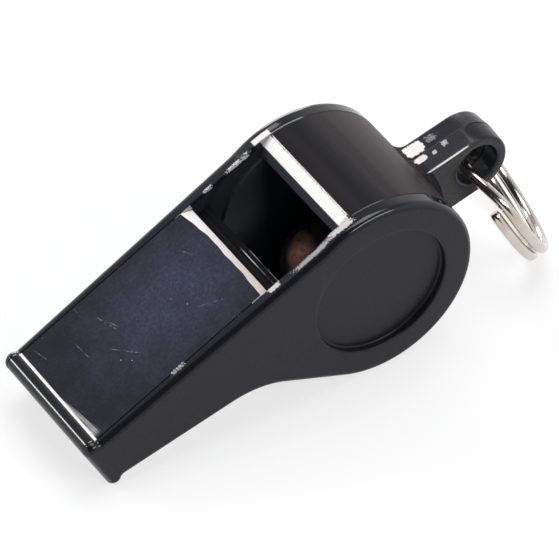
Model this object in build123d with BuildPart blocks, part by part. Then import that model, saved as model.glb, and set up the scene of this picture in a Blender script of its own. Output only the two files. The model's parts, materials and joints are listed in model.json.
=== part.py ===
from build123d import *
import os
from math import asin, atan2, cos, degrees, hypot, pi, radians, sin, sqrt, tan

# Sports whistle. The middle body carries the barrel, the windway floor and the lanyard lug. A roof
# closes the windway, a plate is welded on each side, a cork pea runs in the barrel and a split ring
# hangs in the lug. Sizes are in millimetres.
# The side view is drawn on the mouthpiece: "along" runs on its top face from the hollow line behind
# the bite lip towards the lug, and "up" stands square to that face.

# Barrel
barrel_radius = 11.5
barrel_along = 32.8
barrel_rise = 0.25
barrel_wall = 1.9

# Mouthpiece
lip_length = 2.1
lip_rise = 0.5
lip_radius = 1.05
lip_hollow = 0.35
mouth_depth = 7.2
bead_radius = 0.9
bead_hollow = 0.5
belly_depth = 6.77
belly_slope = 11.9
throat_slope = 48.5
throat_radius = 10.0
shoulder_radius = 6.0

# Width of the middle body, and the side plates' thickness at the mouth and at the barrel
core_width = 15.15
mouth_plate = 0.975
barrel_plate = 1.725
side_round = 0.8
round_share = 0.9

# Windway, window and blade; the window starts ahead of the barrel's axis and the blade lies behind it
roof_mouth = 2.6
roof_window = 1.0
windway_mouth = 2.0
windway_window = 1.2
window_lead = 9.25
roof_bevel = 0.8
floor_reach = 1.65
floor_bevel = 0.6
slot_round = 0.4
blade_lag = 0.8
blade_drop = 0.5
ramp_length = 1.6

# Moulding core-out under the windway floor
pocket_start = 7.0
pocket_wall = 1.6
pocket_round = 0.6

# Side plates
recess_radius = 8.0
recess_depth = 0.85
spigot_height = 0.5
spigot_clearance = 0.1

# Lanyard lug
lug_reach = 17.3
lug_angle = 12.0
lug_height = 7.7
lug_thickness = 5.0
lug_draft = 4.0
lug_hole = 5.1
hole_break = 0.3
lug_break = 0.35
lug_root = 1.0

# Cork pea
pea_diameter = 9.2
pea_clearance = 0.15
pea_side = 2.2

# Split ring
ring_radius = 8.15
ring_wire = 1.2
wire_sides = 12
coil_gap = 0.5
ring_play = 0.15
ring_floor_gap = 0.1
ring_yaw = 12.0
ring_end_angle = -121.0
ring_cross_angle = 60.0

# How close an edge lies to the surface that it is picked by
touch_tolerance = 0.005

# Points that measure the ring's gap to itself, and the wires' widths along it that count as one place
sample_count = 400
near_wires = 4

# Halvings that find the angle at which the ring meets the floor
lean_steps = 50

# Derived places in the side view
barrel_up = barrel_rise - barrel_radius
chamber_radius = barrel_radius - barrel_wall
lip_along = lip_radius - lip_length
lip_up = lip_rise - lip_radius
bead_along = bead_radius - lip_length
bead_up = bead_radius - mouth_depth
hole_along = barrel_along + lug_reach * cos(radians(lug_angle))
hole_up = barrel_up - lug_reach * sin(radians(lug_angle))
throat_turn = radians(throat_slope)
touch_along = barrel_along - barrel_radius * sin(throat_turn)
touch_up = barrel_up - barrel_radius * cos(throat_turn)
window_start = barrel_along - window_lead
floor_end = window_start + floor_reach
blade_along = barrel_along + blade_lag
ramp_top = blade_along + ramp_length
beyond = 2 * barrel_radius


def belly_up(along):
    """Height of the mouthpiece's underside."""
    return -belly_depth - along * tan(radians(belly_slope))


def between(along, at_mouth, at_window):
    """A height that changes evenly from the mouth's front to the window."""
    share = (along + lip_length) / (window_start + lip_length)
    return at_mouth + (at_window - at_mouth) * share


def ceiling_up(along):
    return between(along, -roof_mouth, -roof_window)


def floor_up(along):
    return between(along, -roof_mouth - windway_mouth, -roof_window - windway_window)


def barrel_top_up(along):
    return barrel_up + sqrt(barrel_radius**2 - (along - barrel_along) ** 2)


belly_rate = tan(radians(belly_slope))
throat_rate = tan(throat_turn)
throat_along = (touch_up + throat_rate * touch_along + belly_depth) / (throat_rate - belly_rate)
throat_up = belly_up(throat_along)

# The whistle stands on the barrel and on the bead under the mouth, which sets its tilt.
stand_span = hypot(barrel_along - bead_along, barrel_up - bead_up)
stand_lean = atan2(barrel_up - bead_up, barrel_along - bead_along)
tilt = asin((barrel_radius - bead_radius) / stand_span) - stand_lean


def side_x(along, up):
    return along * cos(tilt) - up * sin(tilt)


def side_z(along, up):
    return along * sin(tilt) + up * cos(tilt)


lift = barrel_radius - side_z(barrel_along, barrel_up)
hole_height = lift + side_z(hole_along, hole_up)

# The ring lies on the lowest part of the lug's hole, turned a little askew in it. It leans on the floor
# where it reaches that far, and hangs plumb where it doesn't.
coil_pitch = ring_wire + coil_gap
wire_radius = ring_wire / 2
yaw = radians(ring_yaw)
bore_reach = lug_hole / 2 - wire_radius - ring_play
ring_sag = ring_radius - sqrt(ring_radius**2 - (lug_thickness / 2 / cos(yaw)) ** 2)
bore_side = coil_pitch / 2 * cos(yaw) + lug_thickness / 2 * tan(yaw)


def ring_drop(lean):
    """How far under the hole's axis the ring's inner turn lies."""
    slack = ring_sag * cos(lean) + bore_side * sin(lean)
    return sqrt(slack**2 + bore_reach**2 - ring_sag**2 - bore_side**2) - slack


def ring_low(lean):
    """Height of the ring's lowest point."""
    fall = ring_radius * (cos(lean) + hypot(cos(lean), sin(yaw) * sin(lean)))
    return hole_height - ring_drop(lean) - fall - coil_pitch / 2 * sin(lean) * cos(yaw) - wire_radius


least_lean = 0.0
ring_swing = pi / 2
for step in range(lean_steps):
    lean_between = (least_lean + ring_swing) / 2
    if ring_low(lean_between) < ring_floor_gap:
        least_lean = lean_between
    else:
        ring_swing = lean_between

# The origin is under the middle of the whole object, ring included.
front_x = side_x(lip_along, lip_up) - lip_radius
back_x = side_x(hole_along, hole_up) + coil_pitch / 2 * cos(ring_swing) * cos(yaw) + wire_radius
back_x += ring_radius * (sin(ring_swing) + hypot(sin(ring_swing), sin(yaw) * cos(ring_swing)))
start_x = -(front_x + back_x) / 2
side = Plane(origin=(start_x, 0, lift), x_dir=(cos(tilt), 0, sin(tilt)), z_dir=(0, -1, 0))

os.makedirs("parts", exist_ok=True)


# Side outline, shared by the body, the roof and both side plates
with BuildSketch() as outline:
    with BuildLine():
        Polyline(
            (-lip_length, lip_up),
            (lip_along, lip_up),
            (lip_along, 0),
            (barrel_along, 0),
            (barrel_along, barrel_up),
            (touch_along, touch_up),
            (throat_along, throat_up),
            (bead_along, belly_up(bead_along)),
            (bead_along, bead_up),
            (-lip_length, bead_up),
            close=True,
        )
    make_face()
    with Locations((lip_along, lip_up)):
        Circle(lip_radius)
    with Locations((bead_along, bead_up)):
        Circle(bead_radius)
    with Locations((barrel_along, barrel_up)):
        Circle(barrel_radius)
    lip_corner = (lip_along + sqrt(lip_radius**2 - lip_up**2), 0)
    fillet(outline.vertices().sort_by_distance(lip_corner)[0], lip_hollow)
    bead_corner = (bead_along + bead_radius, belly_up(bead_along + bead_radius))
    fillet(outline.vertices().sort_by_distance(bead_corner)[0], bead_hollow)
    fillet(outline.vertices().sort_by_distance((throat_along, throat_up))[0], throat_radius)
    shoulder = (barrel_along - sqrt(barrel_radius**2 - barrel_up**2), 0)
    fillet(outline.vertices().sort_by_distance(shoulder)[0], shoulder_radius)


def on_barrel(edge):
    """True for an edge that lies on the barrel's outside."""
    ends = [side.to_local_coords(edge @ share) for share in (0, 0.5, 1)]
    radii = [hypot(end.X - barrel_along, end.Y - barrel_up) for end in ends]
    return all(abs(radius - barrel_radius) < touch_tolerance for radius in radii)


# Hollow under the windway floor, which keeps the moulded walls even. It is drawn small by its corners'
# radius and grown again, which rounds them.
with BuildSketch() as pocket:
    pocket_inset = pocket_wall + pocket_round
    pocket_front = pocket_start + pocket_round
    pocket_back = floor_end - pocket_inset
    offset(outline.sketch, amount=-pocket_inset)
    with BuildLine():
        Polyline(
            (pocket_front, floor_up(pocket_front) - pocket_inset),
            (pocket_back, floor_up(pocket_back) - pocket_inset),
            (pocket_back, -beyond),
            (pocket_front, -beyond),
            close=True,
        )
    make_face(mode=Mode.INTERSECT)
    with Locations((barrel_along, barrel_up)):
        Circle(chamber_radius + pocket_inset, mode=Mode.SUBTRACT)
    offset(amount=pocket_round)

# Lanyard lug, drafted both ways from its middle. It grows out of the barrel's wall.
with BuildPart() as lug:
    with BuildSketch(side):
        with Locations(Location((barrel_along, barrel_up), -lug_angle)):
            Rectangle(lug_reach, lug_height, align=(Align.MIN, Align.CENTER))
        with Locations((hole_along, hole_up)):
            Circle(lug_height / 2)
        with Locations((barrel_along, barrel_up)):
            Circle(barrel_radius - barrel_wall / 2, mode=Mode.SUBTRACT)
    extrude(amount=lug_thickness / 2, both=True, taper=lug_draft)
    chamfer(lug.faces().filter_by(Axis.Y).edges(), lug_break)
    with Locations(side.location * Location((hole_along, hole_up, 0))):
        Hole(lug_hole / 2)
    chamfer(lug.edges(Select.LAST).filter_by(GeomType.CIRCLE), hole_break)

# Middle body
with BuildPart() as body:
    with BuildSketch(side) as floor_sketch:
        add(outline.sketch)
        with BuildLine():
            Polyline(
                (-beyond, floor_up(-beyond)),
                (floor_end - floor_bevel, floor_up(floor_end - floor_bevel)),
                (floor_end, floor_up(floor_end - floor_bevel) - floor_bevel),
                (floor_end, barrel_up),
                (barrel_along, barrel_up),
                (barrel_along, barrel_up + chamber_radius),
                (blade_along, -blade_drop),
                (ramp_top, barrel_top_up(ramp_top)),
                (ramp_top, beyond),
                (-beyond, beyond),
                close=True,
            )
        make_face(mode=Mode.SUBTRACT)
        with Locations((barrel_along, barrel_up)):
            Circle(chamber_radius, mode=Mode.SUBTRACT)
        add(pocket.sketch, mode=Mode.SUBTRACT)
        slot_edge = (-lip_length, floor_up(-lip_length))
        fillet(floor_sketch.vertices().sort_by_distance(slot_edge)[0], slot_round)
    extrude(amount=core_width / 2, both=True)
    add(lug.part)
    fillet(body.edges(Select.LAST).filter_by(on_barrel), lug_root)
body.part.label = "barrel_body"
export_step(body.part, "parts/barrel_body.step")

# Windway roof
with BuildPart() as roof:
    with BuildSketch(side) as roof_sketch:
        add(outline.sketch)
        with BuildLine():
            Polyline(
                (-beyond, ceiling_up(-beyond)),
                (window_start, -roof_window),
                (window_start, -roof_bevel),
                (window_start - roof_bevel, 0),
                (window_start - roof_bevel, beyond),
                (-beyond, beyond),
                close=True,
            )
        make_face(mode=Mode.INTERSECT)
        slot_edge = (-lip_length, ceiling_up(-lip_length))
        fillet(roof_sketch.vertices().sort_by_distance(slot_edge)[0], slot_round)
    extrude(amount=core_width / 2, both=True)
roof.part.label = "windway_roof"
export_step(roof.part, "parts/windway_roof.step")

# Side plates. The outer face leans out from the mouth to the barrel.
lean = (barrel_plate - mouth_plate) / barrel_along
lip_plate = mouth_plate - lean * lip_length
edge_round = min(side_round, round_share * min(lip_plate, lip_radius, bead_radius))
face_plane = Plane(
    origin=side.from_local_coords((0, 0, core_width / 2 + mouth_plate)),
    x_dir=side.from_local_coords((1, 0, lean)) - side.origin,
    z_dir=side.from_local_coords((-lean, 0, 1)) - side.origin,
)
recess_plane = face_plane.offset(-recess_depth)
with BuildPart() as right_plate:
    with BuildSketch(face_plane):
        add(outline.sketch)
    extrude(amount=-beyond)
    split(bisect_by=side.offset(core_width / 2), keep=Keep.TOP)
    fillet(right_plate.faces().sort_by(Axis.Y)[0].edges(), edge_round)
    with BuildSketch(recess_plane):
        with Locations((barrel_along, barrel_up)):
            Circle(recess_radius)
    extrude(amount=beyond, mode=Mode.SUBTRACT)
    with BuildSketch(side.offset(core_width / 2)):
        with Locations((barrel_along, barrel_up)):
            Circle(chamber_radius - spigot_clearance)
    extrude(amount=-spigot_height)
right_plate.part.label = "right_side_plate"
export_step(right_plate.part, "parts/right_side_plate.step")

with BuildPart() as left_plate:
    mirror(right_plate.part, about=Plane.XZ)
left_plate.part.label = "left_side_plate"
export_step(left_plate.part, "parts/left_side_plate.step")

# Cork pea, lying at the bottom of the barrel
pea_orbit = chamber_radius - pea_diameter / 2 - pea_clearance
barrel_x = start_x + side_x(barrel_along, barrel_up)
with BuildPart() as pea:
    with Locations((barrel_x, pea_side, barrel_radius - pea_orbit)):
        Sphere(pea_diameter / 2)
pea.part.label = "cork_pea"
export_step(pea.part, "parts/cork_pea.step")

# Split ring: two flat turns of one wire, which changes sides between its two ends
hole_x = start_x + side_x(hole_along, hole_up)
ring_down = Vector(sin(ring_swing), 0, -cos(ring_swing))
ring_outward = Vector(cos(ring_swing), 0, sin(ring_swing))
ring_across = Vector(0, cos(yaw), 0) + ring_outward * sin(yaw)
ring_axis = ring_outward * cos(yaw) - Vector(0, sin(yaw), 0)
ring_centre = Vector(hole_x, 0, hole_height - ring_drop(ring_swing)) + ring_down * ring_radius


def ring_point(angle, shift):
    turn = radians(angle)
    outward = ring_down * cos(turn) + ring_across * sin(turn)
    return ring_centre + outward * ring_radius + ring_axis * shift


def ring_tangent(angle):
    turn = radians(angle)
    return ring_across * cos(turn) - ring_down * sin(turn)


def biarc_joint(first, first_way, last, last_way):
    """The point where two equal tangent arcs between the ends meet."""
    gap = last - first
    both = first_way + last_way
    spread = 2 * (1 - first_way.dot(last_way))
    pull = (sqrt(gap.dot(both) ** 2 + spread * gap.dot(gap)) - gap.dot(both)) / spread
    return (first + last + (first_way - last_way) * pull) * 0.5


flat_turn = 360 - ring_cross_angle
low = -coil_pitch / 2
high = coil_pitch / 2
cross_start = ring_end_angle + flat_turn
cross_end = ring_end_angle + 360
ring_stop = cross_end + flat_turn
with BuildLine() as ring_path:
    first_end = ring_point(ring_end_angle, low)
    Line(first_end - ring_tangent(ring_end_angle) * ring_wire, first_end)
    for start, shift in ((ring_end_angle, low), (cross_end, high)):
        for half in (0, 1):
            begin = start + half * flat_turn / 2
            middle = begin + flat_turn / 4
            end = begin + flat_turn / 2
            ThreePointArc(ring_point(begin, shift), ring_point(middle, shift), ring_point(end, shift))
    leave = ring_point(cross_start, low)
    arrive = ring_point(cross_end, high)
    joint = biarc_joint(leave, ring_tangent(cross_start), arrive, ring_tangent(cross_end))
    crossing = TangentArc(leave, joint, tangent=ring_tangent(cross_start))
    TangentArc(joint, arrive, tangent=crossing % 1)
    last_end = ring_point(ring_stop, high)
    Line(last_end, last_end + ring_tangent(ring_stop) * ring_wire)
with BuildPart() as ring:
    ring_wire_path = ring_path.wires()[0]
    with BuildSketch(Plane(origin=ring_wire_path @ 0, z_dir=ring_wire_path % 0)):
        RegularPolygon(wire_radius, wire_sides)
    sweep(path=ring_wire_path, clean=False)
ring.part.label = "split_ring"
export_step(ring.part, "parts/split_ring.step")

# Least gap of the wire to itself, measured on points along it
ring_length = ring_wire_path.length
samples = [ring_wire_path @ (i / sample_count) for i in range(sample_count + 1)]
apart = int(sample_count * near_wires * ring_wire / ring_length)
least = min(
    (samples[i] - samples[j]).length
    for i in range(sample_count + 1)
    for j in range(i + apart, sample_count + 1)
)
section = wire_sides * wire_radius**2 * sin(2 * pi / wire_sides) / 2
print("ring: wire length", round(ring_length, 2), "least gap to itself", round(least - ring_wire, 3))
print("ring: volume", round(ring.part.volume, 2), "section times length", round(section * ring_length, 2))
print("tilt", round(degrees(tilt), 3), "ring leans", round(degrees(ring_swing), 3))
print("barrel axis", round(barrel_x, 4), round(barrel_radius, 4))
print("lug hole axis", round(hole_x, 4), round(hole_height, 4))
print("ring centre", [round(v, 4) for v in ring_centre])
print("recess centre", [round(v, 4) for v in recess_plane.from_local_coords((barrel_along, barrel_up))])
print("recess normal", [round(v, 5) for v in recess_plane.z_dir])
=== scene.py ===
import json
import math

import bmesh
import bpy
from mathutils import Matrix, Vector, noise


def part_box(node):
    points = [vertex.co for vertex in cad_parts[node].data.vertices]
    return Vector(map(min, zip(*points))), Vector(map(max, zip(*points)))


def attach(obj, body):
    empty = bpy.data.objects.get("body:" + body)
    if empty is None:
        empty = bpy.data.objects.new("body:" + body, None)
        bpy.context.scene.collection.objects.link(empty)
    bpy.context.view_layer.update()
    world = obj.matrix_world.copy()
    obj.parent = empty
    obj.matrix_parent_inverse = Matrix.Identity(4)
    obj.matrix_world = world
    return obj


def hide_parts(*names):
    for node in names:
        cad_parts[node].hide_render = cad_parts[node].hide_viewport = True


# %% [markdown]
# A black sports whistle with a cork pea and a split ring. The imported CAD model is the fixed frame. It
# could be shown as it is, but a moulding has softer edges than its solids, so each visible piece is
# modelled again here on the same sizes, and stands for its node.

# %% Load the frame
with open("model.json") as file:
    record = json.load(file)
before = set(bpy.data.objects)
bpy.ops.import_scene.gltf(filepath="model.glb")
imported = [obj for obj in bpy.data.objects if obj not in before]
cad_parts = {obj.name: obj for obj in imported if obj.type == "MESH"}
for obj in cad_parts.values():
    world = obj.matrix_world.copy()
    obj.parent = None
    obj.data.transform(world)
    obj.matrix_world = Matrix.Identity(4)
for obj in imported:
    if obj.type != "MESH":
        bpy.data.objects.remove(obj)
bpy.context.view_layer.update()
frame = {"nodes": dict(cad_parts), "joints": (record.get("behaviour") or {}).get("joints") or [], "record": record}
joints = {joint["name"]: joint for joint in frame["joints"]}
print("CAD nodes:", sorted(frame["nodes"]))

# %% [markdown]
# The sizes are the CAD model's, in millimetres. "Along" runs on the mouthpiece's top face from the hollow
# behind the bite lip to the lug, and "up" stands square to that face. They could be read off the CAD
# meshes, but named values are easier to follow and to change.

# %% Sizes of the moulding
MM = 0.001
barrel_radius = 11.5
barrel_along = 32.8
barrel_rise = 0.25
barrel_wall = 1.9
lip_length = 2.1
lip_rise = 0.5
lip_radius = 1.05
lip_hollow = 0.35
mouth_depth = 7.2
bead_radius = 0.9
bead_hollow = 0.5
belly_depth = 6.77
belly_slope = math.radians(11.9)
throat_slope = math.radians(48.5)
throat_radius = 10.0
shoulder_radius = 6.0
core_width = 15.15
mouth_plate = 0.975
barrel_plate = 1.725
edge_round = 0.8
roof_mouth = 2.6
roof_window = 1.0
windway_mouth = 2.0
windway_window = 1.2
window_start = barrel_along - 9.25
roof_bevel = 0.8
floor_end = window_start + 1.65
floor_bevel = 0.6
slot_round = 0.4
blade_along = barrel_along + 0.8
blade_drop = 0.5
ramp_top = blade_along + 1.6
recess_radius = 8.0
recess_depth = 0.85
spigot_radius = 9.5
spigot_height = 0.5
lug_angle = math.radians(12)
lug_height = 7.7
lug_thickness = 5.0
lug_draft = math.tan(math.radians(4))
lug_hole = 5.1
lug_root = 1.0
print("barrel", 2 * barrel_radius, "mm across, core", core_width, "mm wide")

# %% [markdown]
# No edge of a moulding is quite sharp, and the small rounds and grooves catch the light. Only the visible
# model has these: in the CAD model they would cost many faces and change nothing that a joint or a mount
# needs.

# %% Fine edges
seam_groove = 0.09
sharp_edge = 0.09
hole_break = 0.3
lug_break = 0.28
recess_edge = 0.22
parting_line = 0.07
print("finest edge", min(seam_groove, sharp_edge, parting_line), "mm")

# %% [markdown]
# The whistle lies on its barrel and its mouth. The joints give the barrel's axis and the lug hole's axis,
# and so the tilt. The pieces could be drawn level and turned later, but a finished object has to sit
# unturned at the origin, so `place` turns each point of the side view into the shared frame at once.

# %% Side view
barrel = Vector((barrel_along, barrel_rise - barrel_radius))
barrel_axis = Vector(joints["pea_orbit"]["pos_m"]) / MM
hole_axis = Vector(joints["ring_swing"]["pos_m"]) / MM
lug_reach = (hole_axis - barrel_axis).length
tilt = math.atan2(hole_axis.z - barrel_axis.z, hole_axis.x - barrel_axis.x) + lug_angle


def place(point, across):
    """A point of the side view, at a distance across the whistle, in the shared frame's metres."""
    a = point.x - barrel.x
    u = point.y - barrel.y
    x = barrel_axis.x + a * math.cos(tilt) - u * math.sin(tilt)
    z = barrel_axis.z + a * math.sin(tilt) + u * math.cos(tilt)
    return Vector((x, across, z)) * MM


print("tilt", round(math.degrees(tilt), 2), "degrees; lug reach", round(lug_reach, 2), "mm")

# %% [markdown]
# Every section here is a loop of lines and arcs with small rounds where they meet. Blender's curves could
# hold them, but plain lists of points are easier to loft and to measure.

# %% Runs of points
corner_shares = (0.25, 0.5, 0.75)


def heading(way):
    return math.degrees(math.atan2(way.y, way.x))


def turn(angle):
    return Vector((math.cos(math.radians(angle)), math.sin(math.radians(angle))))


def arc(centre, radius, first, last, step=4.0):
    """Points on a circle from one angle to another, in degrees."""
    count = max(2, math.ceil(abs(last - first) / step))
    return [centre + turn(first + (last - first) * i / count) * radius for i in range(count + 1)]


def trimmed(run, reach):
    """A run of points without its last stretch."""
    run = list(run)
    while reach > 0:
        last = run.pop()
        back = run[-1] - last
        if back.length > reach:
            run.append(last + back.normalized() * reach)
            break
        reach -= back.length
    return run


def joined(*runs):
    """One loop from runs that meet end to end, each with the reach of the round at its end."""
    loop = []
    pieces = [list(points) for points, reach in runs]
    reaches = [reach for points, reach in runs]
    for i, reach in enumerate(reaches):
        after = (i + 1) % len(pieces)
        corner = pieces[i][-1]
        pieces[i] = trimmed(pieces[i], reach)
        pieces[after] = trimmed(pieces[after][::-1], reach)[::-1]
        start = pieces[i][-1]
        end = pieces[after][0]
        for share in corner_shares:
            pieces[i].append(start.lerp(corner, share).lerp(corner.lerp(end, share), share))
    for points in pieces:
        loop += points
    return loop


def outward(loop):
    """The loop's outward direction at each point, for a loop that runs clockwise."""
    ways = []
    for i in range(len(loop)):
        along = (loop[(i + 1) % len(loop)] - loop[i - 1]).normalized()
        ways.append(Vector((-along.y, along.x)))
    return ways


print("a quarter of the barrel:", len(arc(barrel, barrel_radius, 0, 90)), "points")

# %% [markdown]
# The whistle's outline is a chain of tangent arcs and straight lines: bite lip, hollow, shoulder, barrel,
# throat, bead hollow and bead. It could be traced by hand, but worked out from the sizes it stays smooth,
# and the body, the roof and both plates share it.

# %% Outline
fine_step = 1.5
barrel_step = 1.25
nook_step = 6.0
lip = Vector((lip_radius - lip_length, lip_rise - lip_radius))
bead = Vector((bead_radius - lip_length, bead_radius - mouth_depth))
belly_way = Vector((math.cos(belly_slope), -math.sin(belly_slope)))
belly_out = Vector((-math.sin(belly_slope), -math.cos(belly_slope)))
throat_out = Vector((-math.sin(throat_slope), -math.cos(throat_slope)))

hollow_rise = lip_hollow - lip.y
hollow_side = math.sqrt((lip_radius + lip_hollow) ** 2 - hollow_rise**2)
hollow = Vector((lip.x + hollow_side, lip_hollow))
shoulder_side = math.sqrt((barrel_radius + shoulder_radius) ** 2 - (shoulder_radius - barrel.y) ** 2)
shoulder = Vector((barrel.x - shoulder_side, shoulder_radius))
touch = barrel + throat_out * barrel_radius
throat_rate = math.tan(throat_slope)
throat_fall = touch.y + throat_rate * touch.x + belly_depth
throat_along = throat_fall / (throat_rate - math.tan(belly_slope))
throat_corner = Vector((throat_along, -belly_depth - throat_along * math.tan(belly_slope)))
throat_back = throat_radius * math.tan((throat_slope - belly_slope) / 2)
throat = throat_corner - belly_way * throat_back + belly_out * throat_radius
bead_base = Vector((0, -belly_depth)) + belly_out * bead_hollow - bead
bead_shift = bead_base.dot(belly_way)
bead_reach = math.sqrt(bead_shift**2 - bead_base.length_squared + (bead_radius + bead_hollow) ** 2)
bead_nook = bead + bead_base + belly_way * (bead_reach - bead_shift)

lip_arc = arc(lip, lip_radius, 180, heading(hollow - lip))
hollow_arc = arc(hollow, lip_hollow, heading(lip - hollow) % 360, 270, nook_step)
shoulder_arc = arc(shoulder, shoulder_radius, 270, heading(barrel - shoulder) % 360, fine_step)
throat_arc = arc(throat, throat_radius, heading(-throat_out), heading(-belly_out), fine_step)
nook_arc = arc(bead_nook, bead_hollow, heading(-belly_out), heading(bead - bead_nook), nook_step)
bead_arc = arc(bead, bead_radius, heading(bead_nook - bead), -180)


def barrel_arc(first):
    return arc(barrel, barrel_radius, first, heading(throat_out), barrel_step)


top_side = lip_arc[:-1] + hollow_arc + shoulder_arc[:-1]
underside = throat_arc + nook_arc + bead_arc
outline = top_side + barrel_arc(heading(shoulder - barrel)) + underside
outline = [p for i, p in enumerate(outline) if (p - outline[i - 1]).length > 1e-4]
outline_out = outward(outline)
print("outline:", len(outline), "points")

# %% [markdown]
# The moulded pieces are lofted from rings of points. A Bevel modifier could round their edges, but rings
# laid on the rounds give even faces. Flat ends are filled, edges sharper than the soft angle stay sharp,
# and weighted normals keep the flats flat beside their rounds.

# %% Mesh helpers
soft_angle = math.radians(38)


def loft(bm, rings, closed=True):
    """Quads between rings that follow each other."""
    for low, high in zip(rings, rings[1:]):
        for i in range(0 if closed else 1, len(low)):
            bm.faces.new((low[i - 1], low[i], high[i], high[i - 1]))


def fill(bm, *loops):
    """Flat faces inside the first loop and outside the others."""
    edges = []
    for loop in loops:
        for i in range(len(loop)):
            edge = bm.edges.get((loop[i - 1], loop[i]))
            edges.append(edge or bm.edges.new((loop[i - 1], loop[i])))
    bmesh.ops.triangle_fill(bm, edges=edges, use_beauty=True)


def capped_loft(bm, rings):
    """Quads between rings, with both ends filled."""
    loft(bm, rings)
    fill(bm, rings[0])
    fill(bm, rings[-1])


def as_object(name, bm):
    """A mesh object with outward faces."""
    bmesh.ops.recalc_face_normals(bm, faces=bm.faces)
    mesh = bpy.data.meshes.new(name)
    bm.to_mesh(mesh)
    bm.free()
    made = bpy.data.objects.new(name, mesh)
    bpy.context.scene.collection.objects.link(made)
    return made


def softened(made):
    """Smooth shading, with the sharp edges marked and the normals weighted by area."""
    bm = bmesh.new()
    bm.from_mesh(made.data)
    for face in bm.faces:
        face.smooth = True
    for edge in bm.edges:
        edge.smooth = edge.calc_face_angle(0) < soft_angle
    bm.to_mesh(made.data)
    bm.free()
    weighted = made.modifiers.new("weighted", "WEIGHTED_NORMAL")
    weighted.keep_sharp = True
    print(made.name, "has", len(made.data.polygons), "faces")
    return made


def quarter(steps):
    """Angles of a quarter turn, both ends included."""
    return [math.pi / 2 * i / steps for i in range(steps + 1)]


def circle(radius, count=128):
    return [barrel + turn(360 * i / count) * radius for i in range(count)]


print("edges over", round(math.degrees(soft_angle)), "degrees stay sharp")

# %% [markdown]
# A side plate is welded on each side of the body. It leans out from the mouth to the barrel, carries a
# sunk disc and reaches into the barrel with a spigot. A cut block with a Boolean disc would leave ragged
# edges, so rings run from the weld groove over the round rim, and from the face down into the disc.

# %% Side plates
half_core = core_width / 2
plate_lean = (barrel_plate - mouth_plate) / barrel_along
rim_steps = 9
sunk_edge_steps = 5
sunk_floor_steps = 4


def side_plate(name, side):
    bm = bmesh.new()

    def ring(points, across):
        return [bm.verts.new(place(p, side * across)) for p in points]

    def face_ring(points, depth):
        face_across = half_core + mouth_plate - depth
        return [bm.verts.new(place(p, side * (face_across + plate_lean * p.x))) for p in points]

    def inset(amount):
        return [p - way * amount for p, way in zip(outline, outline_out)]

    rim = [ring(inset(seam_groove), half_core), ring(outline, half_core + seam_groove)]
    for angle in quarter(rim_steps):
        rim.append(face_ring(inset(edge_round * (1 - math.cos(angle))), edge_round * (1 - math.sin(angle))))
    sunk = []
    for angle in quarter(sunk_edge_steps):
        radius = recess_radius + recess_edge * (1 - math.sin(angle))
        sunk.append(face_ring(circle(radius), recess_edge * (1 - math.cos(angle))))
    for angle in quarter(sunk_floor_steps):
        radius = recess_radius - recess_edge * (1 - math.cos(angle))
        sunk.append(face_ring(circle(radius), recess_depth - recess_edge * (1 - math.sin(angle))))
    spigot = [ring(circle(spigot_radius), half_core), ring(circle(spigot_radius), half_core - spigot_height)]
    loft(bm, rim)
    loft(bm, sunk)
    loft(bm, spigot)
    fill(bm, rim[-1], sunk[0])
    fill(bm, rim[0], spigot[0])
    bm.faces.new(sunk[-1])
    bm.faces.new(spigot[-1])
    return softened(as_object(name, bm))


right_plate = side_plate("right_plate_moulding", -1)
left_plate = side_plate("left_plate_moulding", 1)

# %% [markdown]
# The middle body is one moulding: windway floor, chamber, blade, ramp, barrel, throat and bead. Its
# section could be cut from a block by Booleans, but one clockwise loop, lofted across the whistle, keeps
# clean edges. Only the stretch on the outline has the weld groove.

# %% Middle body
chamber_radius = barrel_radius - barrel_wall
across_levels = 30
outline_slack = 0.4
front_edge = 0.05 - lip_length


def between(along, at_mouth, at_window):
    """A height that changes evenly from the mouth's front to the window."""
    share = (along + lip_length) / (window_start + lip_length)
    return at_mouth + (at_window - at_mouth) * share


def on_floor(along):
    return Vector((along, between(along, -roof_mouth - windway_mouth, -roof_window - windway_window)))


def on_ceiling(along):
    return Vector((along, between(along, -roof_mouth, -roof_window)))


def on_barrel(along):
    return barrel + Vector((along - barrel.x, math.sqrt(barrel_radius**2 - (along - barrel.x) ** 2)))


floor_lip = on_floor(floor_end - floor_bevel)
floor_nose = Vector((floor_end, floor_lip.y - floor_bevel))
chamber_side = floor_end - barrel.x
chamber_meet = barrel + Vector((chamber_side, math.sqrt(chamber_radius**2 - chamber_side**2)))
blade_tip = Vector((blade_along, -blade_drop))
blade_root = barrel + Vector((0, chamber_radius))
ramp_end = on_barrel(ramp_top)
front_floor = on_floor(-lip_length)
body_loop = joined(
    ([front_floor, floor_lip], sharp_edge),
    ([floor_lip, floor_nose], sharp_edge),
    ([floor_nose, chamber_meet], sharp_edge),
    (arc(barrel, chamber_radius, heading(chamber_meet - barrel), 450, 2), sharp_edge),
    ([blade_root, blade_tip], sharp_edge),
    ([blade_tip, ramp_end], 2 * sharp_edge),
    (barrel_arc(heading(ramp_end - barrel)) + underside + [front_floor], slot_round),
)
body_out = outward(body_loop)


def groove_share(point):
    """1 on the outline, 0 on the windway's and the chamber's walls."""
    off_outline = min((point - p).length for p in outline)
    return 1.0 if off_outline < outline_slack or point.x < front_edge else 0.0


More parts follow.
